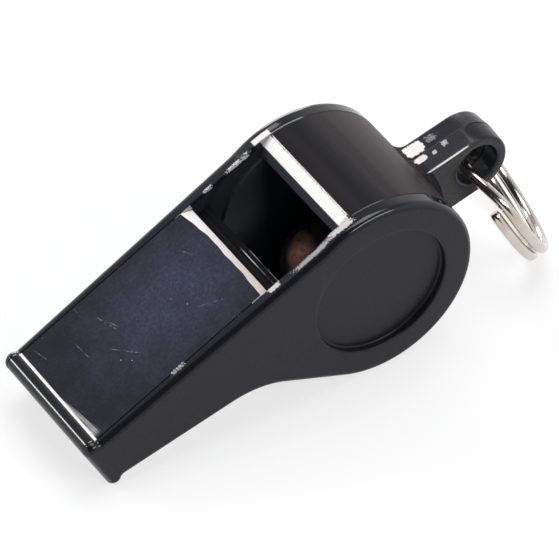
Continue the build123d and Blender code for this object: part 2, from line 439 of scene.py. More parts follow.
body_share = [groove_share(p) for p in body_loop]
inner_half = half_core - seam_groove
levels = [(-half_core, seam_groove)]
levels += [(inner_half * (2 * i / across_levels - 1), 0) for i in range(across_levels + 1)]
levels.append((half_core, seam_groove))
bm = bmesh.new()
rings = []
for across, groove in levels:
    inner = [p - way * groove * share for p, way, share in zip(body_loop, body_out, body_share)]
    rings.append([bm.verts.new(place(p, across)) for p in inner])
capped_loft(bm, rings)
body = as_object("body_moulding", bm)
print("body section:", len(body_loop), "points on", len(levels), "levels")

# %% [markdown]
# The lug takes the split ring. The mould parts at its middle, so it is drafted both ways from a fine
# groove, and its root flares into the barrel. A beveled block would miss the draft and the flare, so
# rings follow the barrel's round at the root, and strips run over the lug's end.

# %% Lanyard lug
half_height = lug_height / 2
half_thick = lug_thickness / 2
lug_break_steps = 6
root_steps = 9
root_cut = math.radians(80)
root_sink = 0.7
root_skirt = 0.35
side_steps = 7
end_step = 3
bore_count = 72
bore_steps = 5
lug_out = Vector((math.cos(lug_angle), -math.sin(lug_angle)))
lug_up = Vector((math.sin(lug_angle), math.cos(lug_angle)))


def lug_place(out, up, across):
    return place(barrel + lug_out * out + lug_up * up, across)


def lug_profile():
    """Distances across the lug, each with its inset from the widest outline."""
    half = []
    for angle in quarter(lug_break_steps):
        across = half_thick - lug_break + lug_break * math.sin(angle)
        half.append((across, across * lug_draft + lug_break * (1 - math.cos(angle))))
    flat = 0.5 * (half_thick - lug_break)
    half = half[::-1] + [(flat, flat * lug_draft), (parting_line, 0), (0, parting_line)]
    return half + [(-across, inset) for across, inset in half[-2::-1]]


profile = lug_profile()
top_row = [Vector((half_height - inset, across)) for across, inset in profile]
low_row = [Vector((-point.x, point.y)) for point in top_row[::-1]]
far_side = [top_row[-1].lerp(low_row[0], i / side_steps) for i in range(1, side_steps)]
near_side = [low_row[-1].lerp(top_row[0], i / side_steps) for i in range(1, side_steps)]
contour = top_row + far_side + low_row + near_side
contour_out = [-way for way in outward(contour)]
if contour_out[len(top_row) // 2].x < 0:
    contour_out = [-way for way in contour_out]


def root_ring(bm, height, flare):
    """The lug's contour, grown by a flare, at a height above the barrel."""
    ring = []
    for point, way in zip(contour, contour_out):
        grown = point + way * flare
        out = math.sqrt((barrel_radius + height) ** 2 - grown.x**2)
        ring.append(bm.verts.new(lug_place(out, grown.x, grown.y)))
    return ring


def end_row(bm, angle):
    """The lug's profile at an angle round its end."""
    way = turn(angle)
    row = []
    for across, inset in profile:
        reach = half_height - inset
        row.append(bm.verts.new(lug_place(lug_reach + way.x * reach, way.y * reach, across)))
    return row


def bore_ring(bm, across, wide):
    """A circle of the lug's hole, with its growth at the edges."""
    ring = []
    for i in range(bore_count):
        way = turn(360 * i / bore_count) * (lug_hole / 2 + wide)
        ring.append(bm.verts.new(lug_place(lug_reach + way.x, way.y, across)))
    return ring


bm = bmesh.new()
last_height = lug_root * (1 - math.sin(root_cut))
last_flare = lug_root * (1 - math.cos(root_cut))
roots = [root_ring(bm, -root_sink, 0)]
roots.append(root_ring(bm, last_height - root_skirt / math.tan(root_cut), last_flare + root_skirt))
for i in range(root_steps, -1, -1):
    angle = root_cut * i / root_steps
    roots.append(root_ring(bm, lug_root * (1 - math.sin(angle)), lug_root * (1 - math.cos(angle))))
loft(bm, roots)
bm.faces.new(roots[0])
crown = roots[-1]
row = len(top_row)
low_start = row + side_steps - 1
lug_strip = [crown[:row]]
lug_strip += [end_row(bm, 90 - angle) for angle in range(0, 180 + end_step, end_step)]
lug_strip.append(crown[low_start : low_start + row][::-1])
loft(bm, lug_strip, closed=False)
bore_levels = [(half_thick, 2 * hole_break)]
for angle in quarter(bore_steps):
    bore_levels.append((half_thick - hole_break * (1 - math.cos(angle)), hole_break * (1 - math.sin(angle))))
bore_levels += [(-across, wide) for across, wide in bore_levels[::-1]]
bore = [bore_ring(bm, across, wide) for across, wide in bore_levels]
loft(bm, bore)
fill(bm, [v[0] for v in lug_strip] + crown[low_start + row :], bore[0])
fill(bm, [v[-1] for v in lug_strip] + crown[row:low_start][::-1], bore[-1])
lug = as_object("lug_moulding", bm)
print("lug:", len(contour), "points on", len(roots), "root rings")

# %% [markdown]
# Body and lug are one moulding on the real whistle. Their meshes could just overlap, but then faces would
# stay hidden inside, so an exact Boolean joins them into one closed mesh.

# %% Body and lug in one
union = body.modifiers.new("union", "BOOLEAN")
union.operation = "UNION"
union.solver = "EXACT"
union.object = lug
evaluated = body.evaluated_get(bpy.context.evaluated_depsgraph_get())
joined_mesh = bpy.data.meshes.new_from_object(evaluated)
body.modifiers.remove(union)
body.data = joined_mesh
bpy.data.objects.remove(lug)
softened(body)

# %% [markdown]
# The roof closes the windway. Its rear bevel was trimmed by hand: it is widest at the far plate and a
# little wavy. A texture could only paint that, so the section itself changes from level to level across
# the windway.

# %% Windway roof
bevel_least = 0.62
near_swell = 0.16
far_swell = 0.75
bevel_ripples = ((0.05, 17, 0), (0.03, 41, 1))
roof_groove_low = -0.9
roof_groove_front = 0.1 - lip_length
ceiling_front = on_ceiling(-lip_length)


def bevel_width(share):
    """The bevel's width on the top face, from the near plate to the far one."""
    width = bevel_least + near_swell * (1 - share) ** 3 + far_swell * share**6
    for reach, rate, shift in bevel_ripples:
        width += reach * math.sin(rate * share + shift)
    return width


def roof_loop(share):
    bevel_start = Vector((window_start - bevel_width(share), 0))
    bevel_end = Vector((window_start, -roof_bevel))
    rear = on_ceiling(window_start)
    top = lip_arc[:-1] + hollow_arc + [bevel_start]
    return joined(
        ([ceiling_front] + top, sharp_edge),
        ([bevel_start, bevel_end], 0.6 * sharp_edge),
        ([bevel_end, rear], 0.6 * sharp_edge),
        ([rear, ceiling_front], slot_round),
    )


def on_roof_outline(point):
    return point.y > roof_groove_low or point.x < roof_groove_front


bm = bmesh.new()
rings = []
for across, groove in levels:
    loop = roof_loop((across + half_core) / core_width)
    grooved = [p - way * groove * on_roof_outline(p) for p, way in zip(loop, outward(loop))]
    rings.append([bm.verts.new(place(p, across)) for p in grooved])
capped_loft(bm, rings)
roof = softened(as_object("roof_moulding", bm))

# %% [markdown]
# The pea is a ball turned from cork, so its skin is open with pores. A bump in the material could show
# them, but the ball is seen close up through the window, so noise presses them into the mesh, never
# beyond the CAD model's sphere.

# %% Cork pea
cork_swell = 0.015
cork_swell_scale = 2.2
pore_scale = 7.5
pore_level = 0.28
fine_pore_scale = 19
fine_pore_level = 0.3
pore_depth = 0.16
pea_low, pea_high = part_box("cork_pea")
pea_centre = (pea_low + pea_high) / 2
pea_radius = (pea_high.x - pea_low.x) / 2
bm = bmesh.new()
bmesh.ops.create_icosphere(bm, subdivisions=6, radius=1)
for vert in bm.verts:
    way = vert.co.normalized()
    swell = max(-1.0, min(1.0, noise.fractal(way * cork_swell_scale, 1.0, 2.0, 3)))
    pores = max(0.0, noise.noise(way * pore_scale) - pore_level)
    pores += 0.5 * max(0.0, noise.noise(way * fine_pore_scale) - fine_pore_level)
    size = 1 - cork_swell + cork_swell * swell - pore_depth * pores
    vert.co = way * size * pea_radius + pea_centre
pea = softened(as_object("pea_cork", bm))

# %% [markdown]
# Finishes and repeated pieces are node trees. They could be drawn by hand in the editor, but a script
# that stands alone has to build them, so a small class keeps each call short.

# %% Node helpers


class Nodes:
    """Short calls that add nodes to one tree. Each input is a socket to link or a constant."""

    def __init__(self, tree):
        self.tree = tree

    def link(self, source, target):
        self.tree.links.new(source, target)

    def add(self, kind, inputs=None, **settings):
        made = self.tree.nodes.new(kind)
        for key, value in settings.items():
            setattr(made, key, value)
        for key, value in (inputs or {}).items():
            if isinstance(value, bpy.types.NodeSocket):
                self.link(value, made.inputs[key])
            else:
                made.inputs[key].default_value = value
        return made

    def calc(self, operation, a, b=0.0, c=0.0):
        return self.add("ShaderNodeMath", {0: a, 1: b, 2: c}, operation=operation).outputs[0]

    def vector(self, operation, a, b=(0, 0, 0), output=0):
        return self.add("ShaderNodeVectorMath", {0: a, 1: b}, operation=operation).outputs[output]

    def scaled(self, vector, scale):
        return self.add("ShaderNodeVectorMath", {0: vector, "Scale": scale}, operation="SCALE").outputs[0]

    def dot(self, a, b):
        return self.vector("DOT_PRODUCT", a, b, "Value")

    def length(self, a):
        return self.vector("LENGTH", a, output="Value")

    def ease(self, value, low, high, start=0.0, end=1.0, curve="SMOOTHSTEP"):
        """A smooth step of a value between two limits."""
        sockets = {"Value": value, "From Min": low, "From Max": high, "To Min": start, "To Max": end}
        return self.add("ShaderNodeMapRange", sockets, interpolation_type=curve).outputs[0]

    def noise(self, vector, scale, detail=2.0, rough=0.5):
        sockets = {"Vector": vector, "Scale": scale, "Detail": detail, "Roughness": rough}
        return self.add("ShaderNodeTexNoise", sockets).outputs[0]

    def times(self, total, *masks):
        for mask in masks:
            total = self.calc("MULTIPLY", total, mask)
        return total

    def most(self, total, *masks):
        for mask in masks:
            total = self.calc("MAXIMUM", total, mask)
        return total

    def weighted(self, total, *pairs):
        """A value plus masks, each times its amount."""
        for mask, amount in pairs:
            total = self.calc("MULTIPLY_ADD", mask, amount, total)
        return total

    def blend(self, share, low, high):
        """A mix of two colours."""
        return self.add("ShaderNodeMix", {0: share, 6: low, 7: high}, data_type="RGBA").outputs[2]

    def use(self, group, **inputs):
        """A node that stands for a shader group, as its first output."""
        return self.add("ShaderNodeGroup", inputs, node_tree=group.tree).outputs[0]


def material(name, **values):
    """A material, its nodes and its shader, with constants set on the shader."""
    made = bpy.data.materials.get(name) or bpy.data.materials.new(name)
    made.use_nodes = True
    shader = made.node_tree.nodes["Principled BSDF"]
    for key, value in values.items():
        shader.inputs[key.replace("_", " ")].default_value = value
    return made, Nodes(made.node_tree), shader


black_plastic, plastic, plastic_shader = material(
    "black_plastic_gloss", Specular_IOR_Level=0.21, Coat_Roughness=0.12
)
cork_finish, cork, cork_shader = material("cork", Roughness=0.85)
nickel_finish, nickel, nickel_shader = material("nickel_wire", Metallic=1.0)
print("materials:", [made.name for made in (black_plastic, cork_finish, nickel_finish)])

# %% [markdown]
# Pieces that follow a rule are grown by Geometry Nodes. A group's inputs are its sizes. The result is
# turned into a plain mesh, because the export drops instances and reads no modifier of this kind.

# %% Geometry Nodes helpers


def geometry_group(name, **inputs):
    """A Geometry Nodes group with named inputs: its nodes, its input sockets and their identifiers."""
    group = bpy.data.node_groups.new(name, "GeometryNodeTree")
    group.interface.new_socket("Geometry", in_out="OUTPUT", socket_type="NodeSocketGeometry")
    keys = {}
    for label, kind in inputs.items():
        socket = group.interface.new_socket(label, in_out="INPUT", socket_type="NodeSocket" + kind)
        keys[label] = socket.identifier
    nodes = Nodes(group)
    return nodes, nodes.add("NodeGroupInput").outputs, keys


def end_group(nodes, shape, finish):
    """The end of a Geometry Nodes group: smooth shading, real meshes and the material."""
    smooth = nodes.add("GeometryNodeSetShadeSmooth", {0: shape})
    real = nodes.add("GeometryNodeRealizeInstances", {0: smooth.outputs[0]})
    painted = nodes.add("GeometryNodeSetMaterial", {"Geometry": real.outputs[0], "Material": finish})
    nodes.add("NodeGroupOutput", {0: painted.outputs[0]})


def grown(name, nodes, keys, **values):
    """A plain mesh object made by a Geometry Nodes group."""
    start = bpy.data.objects.new(name, bpy.data.meshes.new(name))
    bpy.context.scene.collection.objects.link(start)
    modifier = start.modifiers.new("nodes", "NODES")
    modifier.node_group = nodes.tree
    for label, value in values.items():
        modifier[keys[label]] = value
    start.update_tag()
    graph = bpy.context.evaluated_depsgraph_get()
    graph.update()
    mesh = bpy.data.meshes.new_from_object(start.evaluated_get(graph))
    start.modifiers.remove(modifier)
    start.data = mesh
    print(name, "has", len(mesh.polygons), "faces")
    return start


# %% [markdown]
# The split ring is one wire of two flat turns that crosses from one to the other. A screwed circle would
# climb all the way round, so Geometry Nodes bend a line of points into the true path and sweep a round
# wire on it, a little thinner at the two cut ends.

# %% Split ring by Geometry Nodes
ring_radius = 8.15
ring_wire = 1.2
coil_pitch = ring_wire + 0.25
ring_end_angle = -121.0
ring_cross_angle = 60.0
wire_sides = 32
end_thin = 0.8
end_points = 2.0
mounts = {mount["name"]: mount for mount in frame["record"]["mounts"]}
ring_centre = Vector(mounts["lanyard_ring"]["pos_m"])
ring_axis = Vector(mounts["lanyard_ring"]["axis"])
ring_down = Vector((0, 1, 0)).cross(ring_axis).normalized()

coil, given, coil_keys = geometry_group(
    "split_ring_wire",
    Radius="Float",
    Wire_radius="Float",
    Pitch="Float",
    First_end="Float",
    Flat_turn="Float",
    Crossing="Float",
    End_length="Float",
    Points="Int",
    Centre="Vector",
    Down="Vector",
    Across="Vector",
    Axis="Vector",
    Material="Material",
)
index = coil.add("GeometryNodeInputIndex").outputs[0]
last_index = coil.calc("SUBTRACT", given["Points"], 1.0)
share = coil.calc("DIVIDE", index, last_index)
sweep = coil.weighted(given["Crossing"], (given["Flat_turn"], 2.0), (given["End_length"], 2.0))
first = coil.calc("SUBTRACT", given["First_end"], given["End_length"])
angle = coil.calc("MULTIPLY_ADD", share, sweep, first)
cross_start = coil.calc("ADD", given["First_end"], given["Flat_turn"])
cross_end = coil.calc("ADD", cross_start, given["Crossing"])
shift = coil.times(coil.ease(angle, cross_start, cross_end, -0.5, 0.5), given["Pitch"])
down_part = coil.times(coil.calc("COSINE", angle), given["Radius"])
across_part = coil.times(coil.calc("SINE", angle), given["Radius"])
spot = coil.scaled(given["Down"], down_part)
for part in (coil.scaled(given["Across"], across_part), coil.scaled(given["Axis"], shift), given["Centre"]):
    spot = coil.vector("ADD", spot, part)
line = coil.add("GeometryNodeMeshLine", {"Count": given["Points"]})
bent = coil.add("GeometryNodeSetPosition", {"Geometry": line.outputs[0], "Position": spot})
path = coil.add("GeometryNodeMeshToCurve", {0: bent.outputs[0]})
to_end = coil.calc("MINIMUM", index, coil.calc("SUBTRACT", last_index, index))
thin = coil.ease(to_end, 0.0, end_points, end_thin, 1.0, "SMOOTHERSTEP")
wire_inputs = {"Resolution": wire_sides, "Radius": given["Wire_radius"]}
wire = coil.add("GeometryNodeCurvePrimitiveCircle", wire_inputs)
swept = coil.add(
    "GeometryNodeCurveToMesh",
    {"Curve": path.outputs[0], "Profile Curve": wire.outputs[0], "Scale": thin, "Fill Caps": True},
)
end_group(coil, swept.outputs[0], given["Material"])
ring = grown(
    "ring_wire_round",
    coil,
    coil_keys,
    Radius=ring_radius * MM,
    Wire_radius=ring_wire / 2 * MM,
    Pitch=coil_pitch * MM,
    First_end=math.radians(ring_end_angle),
    Flat_turn=math.radians(360 - ring_cross_angle),
    Crossing=math.radians(ring_cross_angle),
    End_length=ring_wire / ring_radius,
    Points=420,
    Centre=ring_centre,
    Down=ring_down,
    Across=ring_axis.cross(ring_down),
    Axis=ring_axis,
    Material=nickel_finish,
)

# %% [markdown]
# Where the plates were welded on, a little plastic was pressed out of the joint and stands on the seam in
# rows of uneven beads. They could be modelled one by one. Geometry Nodes put a small ball on each point
# of a line instead, with a random size and shift from a fixed seed.

# %% Weld beads by Geometry Nodes
bead_size = 0.2
bead_least = 0.45
bead_spread = (1.0, 0.6, 0.4)
weld, given, weld_keys = geometry_group(
    "weld_beads", Start="Vector", Step="Vector", Count="Int", Size="Float", Seed="Int", Material="Material"
)
line_inputs = {"Count": given["Count"], "Start Location": given["Start"], "Offset": given["Step"]}
line = weld.add("GeometryNodeMeshLine", line_inputs)
spread_inputs = {0: tuple(-reach for reach in bead_spread), 1: bead_spread, "Seed": given["Seed"]}
spread = weld.add("FunctionNodeRandomValue", spread_inputs, data_type="FLOAT_VECTOR").outputs[0]
shift = weld.scaled(spread, given["Size"])
strewn = weld.add("GeometryNodeSetPosition", {"Geometry": line.outputs[0], "Offset": shift})
bulk = weld.add("FunctionNodeRandomValue", {2: bead_least, 3: 1.0, "Seed": given["Seed"]}).outputs[1]
ball = weld.add("GeometryNodeMeshIcoSphere", {"Radius": given["Size"], "Subdivisions": 3})
row_inputs = {"Points": strewn.outputs[0], "Instance": ball.outputs[0], "Scale": bulk}
beads = weld.add("GeometryNodeInstanceOnPoints", row_inputs)
end_group(weld, beads.outputs[0], given["Material"])


def rim_height(at):
    """The outline's height above the mouthpiece's top face."""
    return max(0.0, on_barrel(at).y) if at > shoulder.x else 0.0


seam_middle = half_core + seam_groove / 2
bead_rows = []
for name, side, first, last, count, seed in (
    ("far_weld_beads", 1, 28.9, 31.9, 11, 3),
    ("far_window_beads", 1, 25.9, 26.6, 3, 4),
    ("near_weld_beads", -1, 10.6, 11.8, 5, 5),
):
    start = place(Vector((first, rim_height(first))), side * seam_middle)
    end = place(Vector((last, rim_height(last))), side * seam_middle)
    step = (end - start) / (count - 1)
    size = bead_size * MM
    row_of = {"Start": start, "Step": step, "Count": count, "Size": size, "Seed": seed}
    bead_rows.append(grown(name, weld, weld_keys, Material=black_plastic, **row_of))

# %% [markdown]
# Wear and dirt need the same few patterns again and again, so each is a shader group with named inputs
# that puts out masks. `side_view` turns object coordinates into the side view's millimetres, and `band`
# is a mask between two soft limits. Painted maps could do it too, but patterns stay sharp at any
# distance.

# %% Shader groups for place
no_place = (0.0, 0.0, 0.0)


def shader_group(name, inputs, outputs):
    """A shader group with named sockets: its nodes, its input sockets and its output sockets."""
    tree = bpy.data.node_groups.new(name, "ShaderNodeTree")
    for label, value in inputs.items():
        kind = "NodeSocketVector" if isinstance(value, tuple) else "NodeSocketFloat"
        tree.interface.new_socket(label, in_out="INPUT", socket_type=kind).default_value = value
    for label in outputs:
        tree.interface.new_socket(label, in_out="OUTPUT", socket_type="NodeSocketFloat")
    nodes = Nodes(tree)
    return nodes, nodes.add("NodeGroupInput").outputs, nodes.add("NodeGroupOutput").inputs


side_view, given, result = shader_group("side_view", {"Vector": no_place}, ("Along", "Up", "Across"))
moved = side_view.vector("SUBTRACT", given["Vector"], barrel_axis * MM)
for label, way, start in (
    ("Along", Vector((math.cos(tilt), 0, math.sin(tilt))), barrel.x),
    ("Up", Vector((-math.sin(tilt), 0, math.cos(tilt))), barrel.y),
    ("Across", Vector((0, 1, 0)), 0.0),
):
    side_view.link(side_view.calc("ADD", side_view.dot(moved, way / MM), start), result[label])

band_inputs = {"Value": 0.0, "Low": 0.0, "High": 1.0, "Soft": 0.05}
band, given, result = shader_group("band", band_inputs, ("Mask",))
limits = []
for label in ("Low", "High"):
    below_limit = band.calc("SUBTRACT", given[label], given["Soft"])
    above_limit = band.calc("ADD", given[label], given["Soft"])
    limits.append(band.ease(given["Value"], below_limit, above_limit))
band.link(band.calc("SUBTRACT", *limits), result["Mask"])
print("shader groups:", [nodes.tree.name for nodes in (side_view, band)])

# %% [markdown]
# A whistle that is carried on a lanyard gets streaks, single scratches, specks of dust and ragged chips.
# One image of dirt could cover it all, but separate groups put each mark where the real one has it.

# %% Shader groups for wear
streak_inputs = {"Vector": no_place, "Angle": 0.0, "Length": 6.0, "Width": 0.1, "Level": 0.62, "Soft": 0.08}
streaks, given, result = shader_group("fine_streaks", streak_inputs, ("Mask",))
turn_inputs = {"Vector": given["Vector"], "Angle": given["Angle"]}
turned = streaks.add("ShaderNodeVectorRotate", turn_inputs).outputs[0]
stretch = streaks.add("ShaderNodeCombineXYZ", {0: given["Length"], 1: given["Width"], 2: 1.0}).outputs[0]
grain = streaks.noise(streaks.vector("DIVIDE", turned, stretch), 1.0, 3.0, 0.6)
level_end = streaks.calc("ADD", given["Level"], given["Soft"])
streaks.link(streaks.ease(grain, given["Level"], level_end), result["Mask"])

scratch_inputs = {"Vector": no_place, "Start": no_place, "End": (1.0, 0.0, 0.0), "Width": 0.05}
scratches, given, result = shader_group("scratch_line", scratch_inputs, ("Mask",))
scratch_wander = 0.2
run = scratches.vector("SUBTRACT", given["End"], given["Start"])
apart = scratches.vector("SUBTRACT", given["Vector"], given["Start"])
share = scratches.calc("DIVIDE", scratches.dot(apart, run), scratches.dot(run, run))
share = scratches.add("ShaderNodeClamp", {"Value": share}).outputs[0]
wander = scratches.calc("SUBTRACT", scratches.noise(given["Vector"], 0.8), 0.5)
off_line = scratches.length(scratches.vector("SUBTRACT", apart, scratches.scaled(run, share)))
off_line = scratches.calc("ABSOLUTE", scratches.weighted(off_line, (wander, scratch_wander)))
broken = scratches.ease(scratches.noise(given["Vector"], 3.0), 0.35, 0.6)
line_mask = scratches.ease(off_line, 0.0, given["Width"], 1.0, 0.0)
scratches.link(scratches.times(line_mask, broken), result["Mask"])

speck_inputs = {"Vector": no_place, "Scale": 2.0, "Share": 0.1, "Size": 0.2}
specks, given, result = shader_group("specks", speck_inputs, ("Mask",))
cells = specks.add("ShaderNodeTexVoronoi", {"Vector": given["Vector"], "Scale": given["Scale"]}).outputs
lot = specks.add("ShaderNodeSeparateColor", {0: cells["Color"]}).outputs
chosen = specks.calc("LESS_THAN", lot[0], given["Share"])
speck_size = specks.times(given["Size"], lot[1])
dot_mask = specks.ease(cells["Distance"], specks.times(speck_size, 0.4), speck_size, 1.0, 0.0)
specks.link(specks.times(chosen, dot_mask), result["Mask"])

chip_inputs = {"Vector": no_place, "Centre": no_place, "Reach": (1.0, 1.0, 1.0), "Ragged": 0.5, "Grain": 3.2}
chips, given, result = shader_group("ragged_patch", chip_inputs, ("Mask",))
apart = chips.vector("SUBTRACT", given["Vector"], given["Centre"])
apart = chips.vector("DIVIDE", apart, given["Reach"])
off_centre = chips.calc("SQRT", chips.length(chips.vector("MULTIPLY", apart, apart)))
torn = chips.calc("SUBTRACT", chips.noise(given["Vector"], given["Grain"], 5.0, 0.7), 0.5)
edge = chips.weighted(off_centre, (torn, given["Ragged"]))
chips.link(chips.ease(edge, 0.86, 0.96, 1.0, 0.0), result["Mask"])
print("shader groups:", [nodes.tree.name for nodes in (streaks, scratches, specks, chips)])

# %% [markdown]
# Every mark on the plastic has a place. It is found from the side view's distances, from the distance to
# the barrel's axis and from soft limits on both. A UV map could hold the places, but millimetres fit the
# sizes above.

# %% Places on the plastic
past_all = 60.0
spot = plastic.add("ShaderNodeTexCoord").outputs["Object"]
along, up, across = plastic.add("ShaderNodeGroup", {"Vector": spot}, node_tree=side_view.tree).outputs[:3]
surface = plastic.add("ShaderNodeCombineXYZ", {0: along, 1: across, 2: up}).outputs[0]
width = plastic.calc("ABSOLUTE", across)
axis_along = plastic.calc("SUBTRACT", along, barrel.x)
axis_up = plastic.calc("SUBTRACT", up, barrel.y)
from_axis = plastic.add("ShaderNodeCombineXYZ", {0: axis_along, 1: axis_up}).outputs[0]
radius = plastic.length(from_axis)
around = plastic.times(plastic.calc("ARCTAN2", axis_up, axis_along), barrel_radius)


def limit(value, low, high, soft=0.05):
    """A mask on the plastic between two limits of a value."""
    return plastic.use(band, Value=value, Low=low, High=high, Soft=soft)


def below(value, high, soft=0.05):
    """A mask on the plastic where a distance is less than a limit."""
    return limit(value, -1.0, high, soft)


def above(value, low, soft=0.05):
    """A mask on the plastic where a distance is more than a limit."""
    return limit(value, low, past_all, soft)


def zone(along_limits, up_limits, *masks):
    """A mask on the plastic between limits along and up, times other masks."""
    return plastic.times(limit(along, *along_limits), limit(up, *up_limits), *masks)


print("places use", len(plastic.tree.nodes), "nodes")

# %% [markdown]
# All plastic pieces come from one black moulding compound, but their finish differs: a glossy top face,
# satin side faces, a rough lug, a barrel band and dark insides. Several materials would show seams, so
# one material has a mask for each zone, worked out from the sizes.

# %% Plastic zones
core = below(width, half_core, 0.02)
on_top = zone((0.0, window_start, 0.1), (-0.02, 0.3, 0.01), core)
face_level = plastic.weighted(half_core + mouth_plate, (along, plate_lean))
on_face = plastic.ease(plastic.calc("SUBTRACT", width, face_level), -0.25, -0.03)
in_recess = plastic.times(below(radius, recess_radius + recess_edge), above(width, half_core + 0.3))
satin = plastic.most(on_face, in_recess)
on_lug = above(plastic.dot(from_axis, lug_out.to_3d()), barrel_radius + 0.3, 0.25)
lug_flare = plastic.times(limit(radius, barrel_radius + 0.03, barrel_radius + lug_root, 0.03), core)
from_bore = plastic.length(plastic.vector("SUBTRACT", from_axis, lug_out.to_3d() * lug_reach))
in_bore = plastic.times(below(from_bore, lug_hole / 2 + hole_break / 2), core)
parting = plastic.times(below(width, 0.09, 0.03), on_lug)
on_strip = plastic.times(limit(radius, barrel_radius - 0.25, barrel_radius + 0.2), core)
on_strip = plastic.times(on_strip, above(along, ramp_top, 0.1))

windway_low = -roof_mouth - windway_mouth - 0.6
window_low = -6.0
in_chamber = plastic.times(below(radius, chamber_radius + 0.1), core)
in_windway = zone((0.7 - lip_length, floor_end + 0.1, 0.1), (windway_low, -roof_window), core)
in_window = zone((window_start, blade_along + 0.1), (window_low, -blade_drop - 0.02), core)
indoors = plastic.most(in_chamber, in_windway, in_window)
# Where the windway floor's edge gets painted shade
shaded_floor_zone = zone((floor_lip.x - 3.0, floor_end + 0.1), (window_low, floor_lip.y + 0.1), core)
print("zones use", len(plastic.tree.nodes), "nodes")

# %% [markdown]
# The top face has a bluish sheen painted into its colour: a painted reflection of the room in the gloss,
# spread over the face in mottled spots and laid on the rims beside the barrel, where the face is also a
# little rougher. It has dust and a few scratches, and the barrel's band has soft streaks across it,
# painted reflections too. Sheen and streaks are noise. The scratches are set one by one, from start to
# end, because random ones look like fur.

# %% Painted sheen, scratches and painted streaks
sheen_centre = (16.0, 0.0, 0.0)
sheen_reach = (13.0, 9.0, 40.0)
sheen_apart = plastic.vector("SUBTRACT", surface, sheen_centre)
sheen_apart = plastic.length(plastic.vector("DIVIDE", sheen_apart, sheen_reach))
sheen_spread = plastic.ease(sheen_apart, 0.1, 1.15, 1.0, 0.0)
cloud = plastic.ease(plastic.noise(surface, 0.3, 4.0, 0.6), 0.35, 0.7)
mottle = plastic.ease(plastic.noise(surface, 2.4, 6.0, 0.8), 0.3, 0.7)
rim_band = limit(width, half_core, half_core + 0.9, 0.1)
rim_sheen = zone((22.0, 34.0, 1.5), (-0.5, 0.6, 0.2), rim_band, 0.1)
# Painted sheen: a bluish tint that stands in for the room's reflection, on a slightly rougher haze
haze_and_sheen = plastic.weighted(plastic.times(cloud, 0.14), (sheen_spread, 0.36))
haze_and_sheen = plastic.weighted(rim_sheen, (haze_and_sheen, on_top))
haze_and_sheen = plastic.times(haze_and_sheen, plastic.weighted(0.35, (mottle, 0.9)))

# Each scratch: where it starts and ends along and across the top face, and its width
scratch = 0.0
for start, end, wide in (
    ((7.2, 0.3), (9.6, -3.1), 0.06),
    ((7.25, 7.4), (7.2, 6.0), 0.06),
    ((8.7, -1.9), (9.8, -3.4), 0.05),
    ((1.1, 7.2), (1.6, 4.6), 0.05),
    ((4.9, 3.9), (5.1, 0.7), 0.04),
    ((8.5, 4.3), (9.15, 1.7), 0.07),
    ((8.9, 3.4), (9.4, 2.0), 0.08),
    ((17.0, -3.2), (19.5, -4.6), 0.04),
    ((19.8, 3.6), (20.6, 1.8), 0.04),
):
    ends = {"Start": (*start, 0.0), "End": (*end, 0.0)}
    scratch = plastic.most(scratch, plastic.use(scratches, Vector=surface, Width=wide, **ends))
hairline = 0.0
for angle, length, level in ((0.45, 8.0, 0.66), (-0.8, 6.0, 0.67)):
    hair = {"Angle": angle, "Length": length, "Width": 0.05, "Level": level, "Soft": 0.1}
    hairline = plastic.most(hairline, plastic.use(streaks, Vector=surface, **hair))
scratch = plastic.times(plastic.most(scratch, plastic.times(hairline, 0.35)), on_top)
dust = plastic.use(specks, Vector=surface, Scale=1.1, Share=0.16, Size=0.11)

strip_place = plastic.add("ShaderNodeCombineXYZ", {0: across, 1: around}).outputs[0]
# Painted reflection: brown streaks across the barrel's band, fading round the barrel
streak_reflection = plastic.use(streaks, Vector=strip_place, Length=45.0, Width=2.3, Level=0.28, Soft=0.46)
streak_reflection = plastic.times(streak_reflection, on_strip, plastic.ease(around, 0.0, 14.0, 1.0, 0.3))
strip_soft = plastic.times(on_strip, plastic.ease(around, 2.0, 15.0, 0.34, 0.06))
print("with bloom and scratches", len(plastic.tree.nodes), "nodes")

# %% [markdown]
# The ramp and the roof's bevel carry a painted reflection of a bright lamp: pale and speckled, and on
# the bevel dimmer towards the near plate. A pale line lies in the lip's hollow, with a smear beside it.
# Painted glints lie on the far rim beside the ramp, on the windway floor's two edges and in dots along
# the weld seams. These follow edges, so bands on the sizes place them.

# %% Painted highlights and marks on edges
speckle = plastic.ease(plastic.noise(surface, 4.5, 5.0, 0.75), 0.28, 0.4)
# Painted reflection of a lamp, speckled, on the ramp and on the roof's bevel
ramp_highlight = zone((blade_along + 0.02, ramp_top - 0.3, 0.03), (-0.62, 0.2, 0.02), core, speckle, 0.82)
bevel_highlight = zone((window_start - 2.05, window_start + 0.1, 0.03), (0.02 - roof_bevel, -0.02, 0.015), core)
in_hollow = zone((-0.26, 0.04, 0.03), (-0.05, 0.15, 0.02), core)
smear = plastic.use(streaks, Vector=surface, Angle=1.49, Length=6.0, Width=0.16, Level=0.3, Soft=0.45)
smear_width = plastic.times(across, -0.13)
near_half = limit(across, -6.9, -0.3, 0.5)
smear = zone((0.0, smear_width, 0.09), (-0.05, 0.2, 0.02), smear, near_half, 0.7)
# Painted highlight, speckled, on the far rim beside the ramp
far_rim = limit(across, half_core + 0.05, 8.35, 0.06)
far_corner_glint = zone((32.9, 35.1, 0.08), (-0.5, 0.4), far_rim, speckle)
# Wear marks together with painted highlights
wear_and_highlights = plastic.most(ramp_highlight, bevel_highlight, in_hollow, smear, far_corner_glint)
